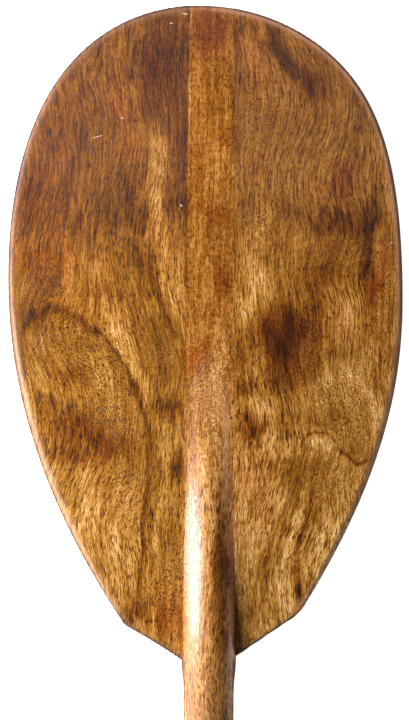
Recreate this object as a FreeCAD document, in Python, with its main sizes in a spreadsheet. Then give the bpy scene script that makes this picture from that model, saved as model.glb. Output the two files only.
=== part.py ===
import FreeCAD, Part
import Sketcher
import os

# A wooden single-blade canoe paddle, laid on its back.
# +Y runs along the shaft towards the blade's tip, +X is the blade's right side and +Z is the ridged
# front face. The origin lies on the blade's flat back, on the shaft's centre plane, halfway along
# the blade.
#
# The build is the joiner's: a flat blade panel of a long centre strip with a wing glued to each side and
# four dowels through all three; a thicker front strip glued on top of the centre strip, which makes the
# shaft up to its full depth and fades into the blade as a ridge; and a cross grip on a wedged tenon.

V = FreeCAD.Vector
ALONG_Y = FreeCAD.Rotation(V(1, 0, 0), -90)       # local Z points along +Y
ACROSS_X = FreeCAD.Rotation(V(1, 1, 1), 120)      # local X, Y and Z point along Y, Z and X
FACING_BACK = FreeCAD.Rotation(V(1, 0, 0), 90)    # local X and Y point along X and Z

# The driving dimensions, in millimetres.
SIZES = {
    "total_length": 1270,
    "blade_length": 418,
    "throat_half_width": 17.4,
    "tip_half_width": 13.5,
    "left_notch": 210,
    "right_notch": 207.5,
    "strip_end": 214,
    "panel_at_throat": 11,
    "panel_at_tip": 6.5,
    "edge_at_throat": 5.5,
    "edge_at_tip": 3.5,
    "panel_half_width": 140,
    "crown_overrun": 0.05,
    "rim_radius": 1.6,
    "shoulder_radius": 4,
    "shaft_half_width": 16,
    "shaft_half_depth": 13,
    "glue_plane": 7.5,
    "front_strip_left_end": -30,
    "front_strip_right_end": 8,
    "fairing_length": 26,
    "fairing_half_width": 15.2,
    "fairing_bottom": 10,
    "fairing_top": 15.5,
    "fairing_step": 1,
    "dowel_radius": 2.5,
    "dowel_length": 72,
    "dowel_height": 3.7,
    "grip_height": 36,
    "neck_length": 18,
    "tenon_radius": 7.5,
    "pin_radius": 3,
    "pin_below_top": 24,
    "wedge_depth": 15,
    "wedge_thickness": 2.2,
    "wedge_point": 0.4,
    "wedge_offset": 2.9,
    "margin": 40,
}
# The outline's control points, from the left shoulder round the tip to the right shoulder.
OUTLINE = [(-54, -188), (-117, -96), (-144, 55), (-101, 188), (1, 224),
           (107, 173), (129, 50), (121, -80), (58, -180)]
# The ridge's oval sections: distance from the throat, height of the crest, half width and half depth.
RIDGE = [(0, 26, 16, 13), (14, 25, 16, 12), (34, 22.4, 15.9, 10.6), (63, 18.2, 15.9, 8.4),
         (100, 13.8, 15.6, 6), (135, 11, 14.6, 4.2), (184, 9.2, 12, 3)]
# Where the dowels cross the centre strip, as distances from the throat.
DOWELS = [45, 145, 245, 345]
# The cross grip: distance from its middle, half its height and half its thickness.
GRIP = [(0, 18, 12.8), (20, 16.8, 12.2), (42, 15.6, 11.6), (53, 11.6, 9.4), (57, 5.0, 4.4)]
# The grip's neck: distance from the shoulder, half its width and half its thickness.
NECK = [(0, 16, 13), (9, 16.8, 12.9), (22, 25, 12.4)]

# Where the grip ends and where it meets the shaft, along Y.
GRIP_TOP = "blade_length / 2 - total_length"
SHOULDER = f"{GRIP_TOP} + grip_height + neck_length"

doc = FreeCAD.newDocument("paddle")
sheet = doc.addObject("Spreadsheet::Sheet", "dimensions")


def fill_sheet():
    """Writes every driving dimension to the sheet, each under its own alias."""
    cells = dict(SIZES)
    for i, (x, y) in enumerate(OUTLINE):
        cells[f"outline_across_{i}"] = x
        cells[f"outline_along_{i}"] = y
    for i, values in enumerate(RIDGE):
        for name, value in zip(("distance", "crest", "half_width", "half_depth"), values):
            cells[f"ridge_{name}_{i}"] = value
    for i, distance in enumerate(DOWELS):
        cells[f"dowel_distance_{i}"] = distance
    for table, rows in (("grip", GRIP), ("neck", NECK)):
        for i, values in enumerate(rows):
            for name, value in zip(("distance", "half_height", "half_thickness"), values):
                cells[f"{table}_{name}_{i}"] = value
    for row, (alias, value) in enumerate(cells.items(), start=1):
        sheet.set(f"A{row}", alias)
        sheet.set(f"B{row}", str(value))
        sheet.setAlias(f"B{row}", alias)
    doc.recompute()


def from_sheet(text):
    """An expression in which each word that names a cell is read from the sheet."""
    return " ".join(f"dimensions.{w}" if w.isidentifier() else w for w in text.split())


def bind(thing, **expressions):
    """Binds properties of a document object to the sheet; a double underscore stands for a full stop."""
    for name, text in expressions.items():
        thing.setExpression(name.replace("__", "."), from_sheet(text))
    return thing


def place(sketch, geometry, point, across, along):
    """Holds one point of a sketch at two distances from the sketch's origin, read from the sheet."""
    for kind, text in (("DistanceX", across), ("DistanceY", along)):
        number = sketch.addConstraint(Sketcher.Constraint(kind, -1, 1, geometry, point, 1.0))
        sketch.setExpression(f"Constraints[{number}]", from_sheet(text))


def sketch_of(name, poles, corners, rotation=FreeCAD.Rotation()):
    """A closed sketch: one cubic spline through its control points, if it has any, then straight lines
    through the corners and back to the start. Every point is bound to the sheet."""
    sketch = doc.addObject("Sketcher::SketchObject", name)
    sketch.Placement = FreeCAD.Placement(V(0, 0, 0), rotation)
    rough = [V(20 * i, (i % 2) * 20 + i * i, 0) for i in range(len(poles) + len(corners))]
    ends = []
    if poles:
        curve = Part.BSplineCurve()
        curve.buildFromPoles(rough[: len(poles)], False, 3)
        spline = sketch.addGeometry(curve, False)
        sketch.exposeInternalGeometry(spline)
        circles = [i for i, g in enumerate(sketch.Geometry) if isinstance(g, Part.Circle)]
        for circle, (across, along) in zip(circles, poles):
            place(sketch, circle, 3, across, along)
        ends.append((spline, 1, 2))
        rough = rough[len(poles) - 1:] + [rough[0]]
    else:
        rough = rough + [rough[0]]
    for number, (start, end) in enumerate(zip(rough, rough[1:])):
        line = sketch.addGeometry(Part.LineSegment(start, end), False)
        ends.append((line, 1, 2))
        corner = number - 1 if poles else number
        if 0 <= corner < len(corners):
            place(sketch, line, 1, *corners[corner])
    for (one, _, last), (other, first, _) in zip(ends, ends[1:] + ends[:1]):
        sketch.addConstraint(Sketcher.Constraint("Coincident", one, last, other, first))
    return sketch


def extrusion(name, sketch, length):
    """The solid that a flat sketch sweeps upwards."""
    solid = doc.addObject("Part::Extrusion", name)
    solid.Base = sketch
    solid.DirMode = "Normal"
    solid.Solid = True
    return bind(solid, LengthFwd=length)


def loft(name, sections):
    """The smooth solid through a row of closed sections."""
    solid = doc.addObject("Part::Loft", name)
    solid.Sections = sections
    solid.Solid = True
    return solid


def cylinder(name, radius, height, rotation, **base):
    """A cylinder that starts at a base point and runs along its own axis."""
    solid = doc.addObject("Part::Cylinder", name)
    solid.Placement = FreeCAD.Placement(V(0, 0, 0), rotation)
    bind(solid, Radius=radius, Height=height)
    return bind(solid, **{f"Placement__Base__{axis}": text for axis, text in base.items()})


def ellipse(name, major, minor, rotation, **base):
    """A flat ellipse for a loft to pass through."""
    ring = doc.addObject("Part::Ellipse", name)
    ring.Placement = FreeCAD.Placement(V(0, 0, 0), rotation)
    bind(ring, MajorRadius=major, MinorRadius=minor)
    return bind(ring, **{f"Placement__Base__{axis}": text for axis, text in base.items()})


def fuse(name, shapes):
    """A union. Faces that meet in one plane stay apart, because merging them spoils the throat."""
    joined = doc.addObject("Part::MultiFuse", name)
    joined.Shapes = shapes
    joined.Refine = False
    return joined


def common(name, one, other):
    """What two shapes share."""
    shared = doc.addObject("Part::MultiCommon", name)
    shared.Shapes = [one, other]
    return shared


def cut(name, base, tool):
    """A shape with another taken away."""
    left = doc.addObject("Part::Cut", name)
    left.Base = base
    left.Tool = tool
    return left


def crown_section(name, share):
    """The panel's section at a share of the way from throat to tip: a flat back and a front that falls
    gently to both edges."""
    middle = f"( panel_at_throat + ( panel_at_tip - panel_at_throat ) * {share} )"
    edge = f"( edge_at_throat + ( edge_at_tip - edge_at_throat ) * {share} )"
    crest = f"{middle} + ( {middle} - {edge} ) / 3"
    poles = [("panel_half_width", edge), ("panel_half_width / 3", crest),
             ("- panel_half_width / 3", crest), ("- panel_half_width", edge)]
    corners = [("- panel_half_width", "0"), ("panel_half_width", "0")]
    sketch = sketch_of(name, poles, corners, FACING_BACK)
    return bind(sketch, Placement__Base__y=f"blade_length * ( {share} - 1 / 2 )")


def seam_at(along):
    """Half the centre strip's width at a distance below the blade's middle: it narrows to the tip."""
    slope = "( throat_half_width - tip_half_width ) / blade_length"
    return f"throat_half_width + {slope} * ( {along} - blade_length / 2 )"


def blade_panel():
    """The flat blade blank: the outline's prism within the crowned section. The centre strip runs on a
    little way past the notches where the wings' shoulders meet it."""
    poles = [(f"outline_across_{i}", f"outline_along_{i}") for i in range(len(OUTLINE))]
    corners = [(seam_at("right_notch"), "- right_notch"), (seam_at("strip_end"), "- strip_end"),
               (f"- ( {seam_at('strip_end')} )", "- strip_end"),
               (f"- ( {seam_at('left_notch')} )", "- left_notch")]
    prism = extrusion("outline_prism", sketch_of("outline", poles, corners), "panel_at_throat * 2")
    crown = loft("crown", [
        crown_section("crown_below_throat", "( - crown_overrun )"),
        crown_section("crown_at_throat", "0"),
        crown_section("crown_at_tip", "1"),
        crown_section("crown_past_tip", "( 1 + crown_overrun )"),
    ])
    return common("panel", prism, crown)


def fillet(name, base, radius, picks):
    """Rounds the edges of a shape that a test picks out."""
    doc.recompute()
    rounded = doc.addObject("Part::Fillet", name)
    rounded.Base = base
    size = SIZES[radius]
    rounded.Edges = [(n, size, size) for n, edge in enumerate(base.Shape.Edges, start=1) if picks(edge)]
    return rounded


def middle_of(edge):
    return edge.valueAt((edge.FirstParameter + edge.LastParameter) / 2)


def is_upright(edge):
    box = edge.BoundBox
    return box.ZLength > max(box.XLength, box.YLength)


def is_shoulder(edge):
    """True for the upright edge at either shoulder, well outside the throat."""
    return is_upright(edge) and abs(middle_of(edge).x) > 2 * SIZES["throat_half_width"]


def is_rim(edge):
    """True for a flat-lying edge round the blade's rim, on its front or back, but not on a seam."""
    return not is_upright(edge) and not is_on_seam(edge)


def is_on_seam(edge):
    """True for an edge that runs along the side or across the throat end of the centre strip."""
    box = edge.BoundBox
    runs_along = box.YLength > 5 * box.XLength
    return runs_along and abs(middle_of(edge).x) < SIZES["throat_half_width"] + 1


def is_tip(edge):
    """True for the centre strip's edges across the blade's tip."""
    return not is_upright(edge) and not is_on_seam(edge) and middle_of(edge).y > 0


def seam_prism():
    """The centre strip's tapered plan, from past the throat to past the tip."""
    reach = "blade_length / 2 + margin"
    slope = "( throat_half_width - tip_half_width ) / blade_length * margin"
    tip, throat = f"tip_half_width - {slope}", f"throat_half_width + {slope}"
    corners = [(f"- ( {throat} )", f"- ( {reach} )"), (throat, f"- ( {reach} )"),
               (tip, reach), (f"- ( {tip} )", reach)]
    prism = extrusion("seam_prism", sketch_of("seam_plan", [], corners), "margin")
    return bind(prism, Placement__Base__z="- margin / 2")


def ridge():
    """The ridge that carries the shaft's oval into the blade, lower and flatter at each station. Its
    lower half lies inside the centre strip."""
    sections = [
        ellipse(f"ridge_section_{i}", f"ridge_half_width_{i}", f"ridge_half_depth_{i}", FACING_BACK,
                y=f"ridge_distance_{i} - blade_length / 2", z=f"ridge_crest_{i} - ridge_half_depth_{i}")
        for i in range(len(RIDGE))
    ]
    return loft("ridge", sections)


def fairing():
    """The flare below the throat, where the strip's square section draws in to the oval shaft."""
    solid = doc.addObject("Part::Wedge", "fairing")
    wide = seam_at("strip_end")
    return bind(
        solid,
        Ymin="0", Ymax="fairing_length",
        Xmin="- fairing_half_width", Xmax="fairing_half_width",
        Zmin="fairing_bottom", Zmax="fairing_top",
        X2min=f"- ( {wide} )", X2max=wide,
        Z2min="0", Z2max="panel_at_throat - fairing_step",
        Placement__Base__y="- strip_end - fairing_length",
    )


def shaft():
    """The oval shaft, from inside the ridge's thick end to the grip's shoulder."""
    ends = [
        ellipse(f"shaft_ring_{i}", "shaft_half_width", "shaft_half_depth", FACING_BACK, y=place_along,
                z="shaft_half_depth")
        for i, place_along in enumerate(("- blade_length / 2", SHOULDER))
    ]
    return loft("shaft_oval", ends)


def grip_body():
    """The cross grip without its mortise: a bar of oval sections and a neck that meets the shaft."""
    middle = f"{GRIP_TOP} + grip_height / 2"
    rings = []
    for side in (-1, 1):
        numbers = range(len(GRIP) - 1, 0, -1) if side < 0 else range(len(GRIP))
        rings += [
            ellipse(f"grip_ring_{side}_{i}", f"grip_half_height_{i}", f"grip_half_thickness_{i}", ACROSS_X,
                    x=f"{side} * grip_distance_{i}", y=middle, z="shaft_half_depth")
            for i in numbers
        ]
    bar = loft("grip_bar", rings)
    collars = [
        ellipse(f"neck_ring_{i}", f"neck_half_height_{i}", f"neck_half_thickness_{i}", FACING_BACK,
                y=f"{SHOULDER} - neck_distance_{i}", z="shaft_half_depth")
        for i in range(len(NECK))
    ]
    return fuse("grip_body", [bar, loft("grip_neck", collars)])


def dowels():
    """Dowels that run through the centre strip and into both wings."""
    return [
        cylinder(f"blade_dowel_{i + 1}", "dowel_radius", "dowel_length",
                 FreeCAD.Rotation(V(0, 1, 0), 90), x="- dowel_length / 2",
                 y=f"dowel_distance_{i} - blade_length / 2", z="dowel_height")
        for i in range(len(DOWELS))
    ]


def wedge_kerf(name, side):
    """The space of one wedge in the tenon's end, widest where the wedge is driven in."""
    corners = [
        (f"{side} * wedge_offset - wedge_thickness / 2", f"{GRIP_TOP} - wedge_thickness"),
        (f"{side} * wedge_offset + wedge_thickness / 2", f"{GRIP_TOP} - wedge_thickness"),
        (f"{side} * wedge_offset + wedge_point / 2", f"{GRIP_TOP} + wedge_depth"),
        (f"{side} * wedge_offset - wedge_point / 2", f"{GRIP_TOP} + wedge_depth"),
    ]
    return extrusion(name, sketch_of(f"{name}_plan", [], corners), "shaft_half_depth * 2")


def front_zone():
    """What belongs to the front strip: all above the glue plane, up to the strip's slanting far end."""
    reach = "total_length"
    slant = "( front_strip_right_end - front_strip_left_end ) / ( throat_half_width * 2 ) * margin"
    middle = "( front_strip_right_end + front_strip_left_end ) / 2"
    corners = [("- margin", f"- {reach}"), ("margin", f"- {reach}"),
               ("margin", f"{middle} + {slant}"), ("- margin", f"{middle} - {slant}")]
    zone = extrusion("front_zone", sketch_of("front_zone_plan", [], corners), "margin")
    return bind(zone, Placement__Base__z="glue_plane")


def half_space(name, start):
    """A box that holds everything on one side of the shaft's centre plane."""
    box = doc.addObject("Part::Box", name)
    return bind(box, Length="panel_half_width", Width="total_length", Height="margin",
                Placement__Base__x=start, Placement__Base__y="- total_length / 2",
                Placement__Base__z="- margin / 2")


def blade_wing(side, wings, start, bores):
    """One board of the blade: its shoulder and its rim rounded, then bored for the dowels."""
    board = common(f"{side}_board", wings, half_space(f"{side}_half", start))
    shouldered = fillet(f"{side}_shouldered", board, "shoulder_radius", is_shoulder)
    rounded = fillet(f"{side}_rounded", shouldered, "rim_radius", is_rim)
    return cut(f"{side}_blade_wing", rounded, bores)


def staves(panel, seam, tenon, cutters):
    """The long piece through blade, shaft and tenon, glued up from a back and a front lamination."""
    strip = fillet("centre_strip", common("centre_board", panel, seam), "rim_radius", is_tip)
    whole = fuse("stave_blank", [strip, ridge(), fairing(), shaft(), tenon])
    shaped = cut("stave", whole, fuse("stave_cuts", cutters))
    zone = front_zone()
    return [cut("stave_back_lamination", shaped, zone), common("stave_front_lamination", shaped, zone)]


def build():
    """Builds every sub-part and returns them."""
    fill_sheet()
    panel = blade_panel()
    seam = seam_prism()
    pegs = dowels()
    bores = fuse("dowel_bores", pegs)

    grip = grip_body()
    mortise = cylinder("mortise", "tenon_radius", "grip_height + neck_length + margin", ALONG_Y,
                       y=f"{GRIP_TOP} - margin / 2", z="shaft_half_depth")
    tenon = common("tenon", mortise, grip)
    pin_bore = cylinder("pin_bore", "pin_radius", "shaft_half_depth * 2", FreeCAD.Rotation(),
                        y=f"{GRIP_TOP} + pin_below_top")
    kerfs = [wedge_kerf("left_kerf", -1), wedge_kerf("right_kerf", 1)]
    handle = cut("cross_grip", cut("grip_bored", grip, mortise), pin_bore)
    fixings = [
        common("grip_pin", pin_bore, grip),
        common("tenon_wedge_left", kerfs[0], tenon),
        common("tenon_wedge_right", kerfs[1], tenon),
    ]
    wings = cut("wings", panel, seam)
    parts = [
        blade_wing("left", wings, "- panel_half_width", bores),
        blade_wing("right", wings, "0", bores),
        *staves(panel, seam, tenon, [bores, pin_bore, *kerfs]),
        *pegs,
        handle,
        *fixings,
    ]
    doc.recompute()
    return parts


def check_and_export(parts):
    """Stops on a failed object or a bad solid, then writes one STEP file for each sub-part."""
    failed = [o.Name for o in doc.Objects if {"Invalid", "Error"} & set(o.State)]
    if failed:
        raise SystemExit(f"failed objects: {failed}")
    os.makedirs("parts", exist_ok=True)
    for part in parts:
        shape = part.Shape
        if shape.isNull() or not shape.isValid() or not shape.Solids:
            raise SystemExit(f"{part.Name} is not a valid solid")
        box = shape.BoundBox
        print(f"{part.Name}: {len(shape.Solids)} solid(s), {shape.Volume / 1000:.1f} cm3, "
              f"x {box.XMin:.1f}..{box.XMax:.1f}, y {box.YMin:.1f}..{box.YMax:.1f}, "
              f"z {box.ZMin:.1f}..{box.ZMax:.1f}")
        shape.exportStep(f"parts/{part.Label}.step")


check_and_export(build())
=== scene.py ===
"""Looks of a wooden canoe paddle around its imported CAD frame.

Lengths are in millimetres until a piece is made, and metres in Blender. +Y runs to the blade's tip,
+Z out of the ridged front, and the origin lies on the blade's flat back.
"""
import math

import bmesh
import bpy
import numpy as np
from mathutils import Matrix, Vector


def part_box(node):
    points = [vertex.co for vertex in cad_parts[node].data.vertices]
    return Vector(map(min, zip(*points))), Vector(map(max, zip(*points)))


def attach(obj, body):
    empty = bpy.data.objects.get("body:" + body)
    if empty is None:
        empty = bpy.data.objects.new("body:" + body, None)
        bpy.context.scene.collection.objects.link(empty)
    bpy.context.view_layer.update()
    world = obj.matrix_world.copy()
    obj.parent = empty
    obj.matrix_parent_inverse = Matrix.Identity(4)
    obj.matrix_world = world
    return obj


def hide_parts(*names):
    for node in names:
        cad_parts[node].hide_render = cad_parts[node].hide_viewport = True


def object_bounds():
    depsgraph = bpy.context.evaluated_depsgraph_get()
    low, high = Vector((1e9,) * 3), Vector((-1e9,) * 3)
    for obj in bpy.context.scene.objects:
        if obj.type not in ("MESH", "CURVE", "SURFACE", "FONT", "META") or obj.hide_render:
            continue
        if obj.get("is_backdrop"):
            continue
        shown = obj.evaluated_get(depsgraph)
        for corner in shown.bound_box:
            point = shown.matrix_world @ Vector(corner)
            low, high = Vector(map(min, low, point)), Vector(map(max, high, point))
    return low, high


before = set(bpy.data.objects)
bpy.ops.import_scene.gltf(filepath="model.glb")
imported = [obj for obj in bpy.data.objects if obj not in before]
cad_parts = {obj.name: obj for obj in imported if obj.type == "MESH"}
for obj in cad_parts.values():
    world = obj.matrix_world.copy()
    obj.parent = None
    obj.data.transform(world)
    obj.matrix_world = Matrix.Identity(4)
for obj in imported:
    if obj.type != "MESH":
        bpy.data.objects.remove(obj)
CAD_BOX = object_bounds()

MM = 0.001


def node_box(name):
    """Lowest and highest corner of a CAD node, in millimetres."""
    low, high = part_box(name)
    return np.array(low) / MM, np.array(high) / MM


LEFT_LOW = node_box("left_blade_wing")[0]
RIGHT_LOW = node_box("right_blade_wing")[0]
SHAFT_LOW, SHAFT_HIGH = node_box("stave_front_lamination")
GRIP_HIGH = node_box("cross_grip")[1]

# ---------------------------------------------------------------- the blade's own sizes
LEFT_NOTCH = LEFT_LOW[1]
RIGHT_NOTCH = RIGHT_LOW[1]
THROAT = -209.0
TIP = 209.0
THROAT_HALF = 17.4
TIP_HALF = 13.5
PANEL_THROAT = 11.0
PANEL_TIP = 6.5
EDGE_THROAT = 5.5
EDGE_TIP = 3.5
CROWN_HALF = 140.0
GLUE_PLANE = SHAFT_LOW[2]
SHAFT_HALF_WIDTH = 16.0
SHAFT_HALF_DEPTH = SHAFT_HIGH[2] / 2
SHOULDER = GRIP_HIGH[1]

# Control points of the blade's outline, from the left shoulder round the tip to the right shoulder.
OUTLINE = np.array([(-54, -188), (-117, -96), (-144, 55), (-101, 188), (1, 224),
                    (107, 173), (129, 50), (121, -80), (58, -180)], float)
OUTLINE_POINTS = 3000
RIM_COUNT = 1400
FAR_FROM_RIM = 99.0
# The front strip's slanting end across the centre strip, at the left seam and at the right seam.
STRIP_END_LEFT = -30.0
STRIP_END_RIGHT = 8.0


# ---------------------------------------------------------------- plain helpers
def smooth(edge_low, edge_high, value):
    """A soft step: 0 below one edge, 1 above the other, and 3t^2 - 2t^3 between them."""
    share = np.clip((value - edge_low) / (edge_high - edge_low), 0, 1)
    return share * share * (3 - 2 * share)


def mix(one, other, share):
    """The straight blend from one value to another: one + (other - one) times the share."""
    return one + (other - one) * share


def seam(y):
    """Half the centre strip's width: it narrows in a straight line from the throat to the tip."""
    return THROAT_HALF + (TIP_HALF - THROAT_HALF) * (y - THROAT) / (TIP - THROAT)


def panel(x, y):
    """Height of the blade's front: thick at the throat, thin at the tip, falling by a parabola to each
    side."""
    share = (y - THROAT) / (TIP - THROAT)
    middle = mix(PANEL_THROAT, PANEL_TIP, share)
    edge = mix(EDGE_THROAT, EDGE_TIP, share)
    return middle - (middle - edge) * (x / CROWN_HALF) ** 2


def spline(poles, count):
    """Points along a clamped uniform cubic B-spline: the control points weighted by the basis functions
    of Cox and de Boor, each built from the two of one degree less."""
    spans = len(poles) - 3
    knots = np.concatenate([[0] * 3, np.arange(spans + 1), [spans] * 3]).astype(float)
    at = np.linspace(0, spans - 1e-9, count)[:, None]
    basis = ((knots[:-1] <= at) & (at < knots[1:])).astype(float)
    for degree in range(1, 4):
        rise = knots[degree:-1] - knots[:-degree - 1]
        fall = knots[degree + 1:] - knots[1:-degree]
        up = (at - knots[:-degree - 1]) / np.where(rise > 0, rise, 1) * (rise > 0)
        down = (knots[degree + 1:] - at) / np.where(fall > 0, fall, 1) * (fall > 0)
        basis = up * basis[:, :-1] + down * basis[:, 1:]
    return basis @ poles


def lengths_along(points):
    """Distance travelled along a row of points, at each point."""
    steps = np.linalg.norm(np.diff(points, axis=0), axis=1)
    return np.concatenate([[0], np.cumsum(steps)])


def resample(points, stations):
    """Points at given distances along a row of points."""
    travelled = lengths_along(points)
    columns = [np.interp(stations, travelled, column) for column in points.T]
    return np.stack(columns, axis=1)


def bend(start, corner, end, count):
    """A quadratic curve from start to end that leaves towards the corner and arrives from it."""
    t = np.linspace(0, 1, count)[:, None]
    return (1 - t) ** 2 * start + 2 * t * (1 - t) * corner + t ** 2 * end


def value_noise(x, y, cell, seed):
    """Smooth random field: random numbers on a square lattice, blended by soft steps inside each cell."""
    rng = np.random.default_rng(seed)
    table = rng.random((64, 64)) * 2 - 1
    u, v = x / cell + 500, y / cell + 500
    i, j = np.floor(u).astype(int), np.floor(v).astype(int)
    a, b = smooth(0, 1, u - i), smooth(0, 1, v - j)
    corner = lambda di, dj: table[(i + di) % 64, (j + dj) % 64]
    low = mix(corner(0, 0), corner(1, 0), a)
    high = mix(corner(0, 1), corner(1, 1), a)
    return mix(low, high, b)


# ---------------------------------------------------------------- the blade's outline
def half_outline(side):
    """One side of the blade's edge, from its notch at the throat round to the centre strip at the tip:
    a slightly hollow shoulder, a rounded corner, and then the outline's spline up to the seam."""
    whole = spline(OUTLINE, OUTLINE_POINTS)
    if side > 0:
        whole = whole[::-1]
    inside = np.argmax((side * whole[:, 0] < seam(whole[:, 1])) & (whole[:, 1] > 0))
    rim = whole[:inside + 1]
    notch_y = LEFT_NOTCH if side < 0 else RIGHT_NOTCH
    notch = np.array([side * seam(notch_y), notch_y])
    corner = rim[0]
    hollow = 1.1 if side < 0 else 0.2
    outward = np.array([side * (corner[1] - notch[1]), -abs(corner[0] - notch[0])])
    middle = (notch + corner) / 2 - outward / np.linalg.norm(outward) * hollow
    shoulder = bend(notch, middle, corner, 200)
    reach = 2.5 if side < 0 else 6.0
    before = shoulder[lengths_along(shoulder) < lengths_along(shoulder)[-1] - reach]
    after = rim[lengths_along(rim) > reach]
    return np.concatenate([before, bend(before[-1], corner, after[0], 24)[1:-1], after])


RIMS = {side: half_outline(side) for side in (-1, 1)}


def whole_rim():
    """The blade's whole edge as one row of points, across the tip too."""
    top = spline(OUTLINE, OUTLINE_POINTS)
    across = top[(np.abs(top[:, 0]) < seam(top[:, 1])) & (top[:, 1] > 0)]
    return np.concatenate([RIMS[-1], across, RIMS[1][::-1]])


RIM_POINTS = resample(whole_rim(), np.linspace(0, lengths_along(whole_rim())[-1], RIM_COUNT))


def rim_distance(x, y):
    """Distance in plan from each point to the nearest of the edge's points, a block at a time."""
    flat = np.stack([x.ravel(), y.ravel()], axis=1).astype(np.float32)
    edge = RIM_POINTS.astype(np.float32)
    near = []
    block_size = 2000
    for block in np.array_split(flat, max(1, len(flat) // block_size)):
        gap = block[:, None, :] - edge[None, :, :]
        near.append(np.sqrt((gap ** 2).sum(axis=2).min(axis=1)))
    return np.concatenate(near).reshape(x.shape).astype(float)


def rim_width(x, y):
    """How far the rounding reaches in from the edge: narrow at the tip and the shoulders, wider along the
    sides, and widest low down, the more so on the left."""
    sides = smooth(-186, -140, y) * (1 - smooth(120, 200, y))
    lower = smooth(-170, -120, y) * (1 - smooth(-50, 40, y))
    return 1.5 + 1.4 * sides + np.where(x < 0, 3.2, 2.0) * lower


def rounded(height, low, distance, width):
    """Front or back height near the rim: a quarter ellipse that falls from height to low at the edge."""
    inward = np.clip(1 - distance / width, 0, 1)
    return low + (height - low) * np.sqrt(1 - inward ** 2)


def blade_front(x, y, distance):
    """Height of the front with its rounded rim, which falls to 0.42 of the blade's thickness."""
    top = panel(x, y)
    return rounded(top, 0.42 * top, distance, rim_width(x, y))


def blade_back(x, y, distance):
    """Height of the flat back, which rises by a quarter ellipse to 0.3 of the thickness at the rim."""
    return 0.3 * panel(x, y) - rounded(0.3 * panel(x, y), 0, distance, 0.45 * rim_width(x, y))


# ---------------------------------------------------------------- the ridge and the shaft
def ridge_height(y):
    """How far the ridge's crest stands above the blade: the shaft's height at the throat, easing away to
    nothing past the blade's middle."""
    stations = [0, 14, 34, 63, 100, 135, 160, 184, 210]
    heights = [15.0, 14.1, 11.8, 8.2, 4.5, 2.0, 0.9, 0.3, 0.0]
    return smooth_row(y - THROAT, stations, heights)


def smooth_row(at, stations, values):
    """Values between stations along the cubic through them whose slopes are those of the neighbours."""
    stations, values = np.array(stations, float), np.array(values, float)
    slopes = np.gradient(values, stations)
    i = np.clip(np.searchsorted(stations, at, side="right") - 1, 0, len(stations) - 2)
    span = stations[i + 1] - stations[i]
    t = np.clip((at - stations[i]) / span, 0, 1)
    return ((2 * t ** 3 - 3 * t ** 2 + 1) * values[i] + (t ** 3 - 2 * t ** 2 + t) * span * slopes[i]
            + (3 * t ** 2 - 2 * t ** 3) * values[i + 1] + (t ** 3 - t ** 2) * span * slopes[i + 1])


def ridge_half_width(y):
    """Half the ridge's width: the centre strip's, less a narrow shelf on each side."""
    return seam(y) - 0.6


def ridge_bulge(x, y):
    """The ridge's section, height times (1 - (x / a)^2)^k: k is one half, an ellipse, at the throat, and
    grows along the blade, which draws the feet out into a cove and leaves a bell."""
    power = smooth_row(y - THROAT, [0, 15, 34, 63, 100, 135, 210], [0.5, 0.53, 0.68, 1.2, 1.55, 1.8, 2.0])
    inside = np.clip(1 - (x / ridge_half_width(y)) ** 2, 0, 1)
    return ridge_height(y) * inside ** power


# ---------------------------------------------------------------- the wood's figure, with some painted light and shade
def blob(x, y, centre, half, lean=0.0):
    """A soft cloud: exp(-r^3) of the distance to its centre, measured in its half sizes and leaned over."""
    dx, dy = x - centre[0], y - centre[1]
    across = (dx - lean * dy) / half[0]
    along = dy / half[1]
    return np.exp(-(across ** 2 + along ** 2) ** 1.5)


def line_distance(x, y, points):
    """Distance from each point to the nearest segment of a drawn line."""
    near = np.full(x.shape, 1e9)
    for (ax, ay), (bx, by) in zip(points[:-1], points[1:]):
        run = (bx - ax) ** 2 + (by - ay) ** 2
        share = np.clip(((x - ax) * (bx - ax) + (y - ay) * (by - ay)) / run, 0, 1)
        gap = np.hypot(x - ax - share * (bx - ax), y - ay - share * (by - ay))
        near = np.minimum(near, gap)
    return near
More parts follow.
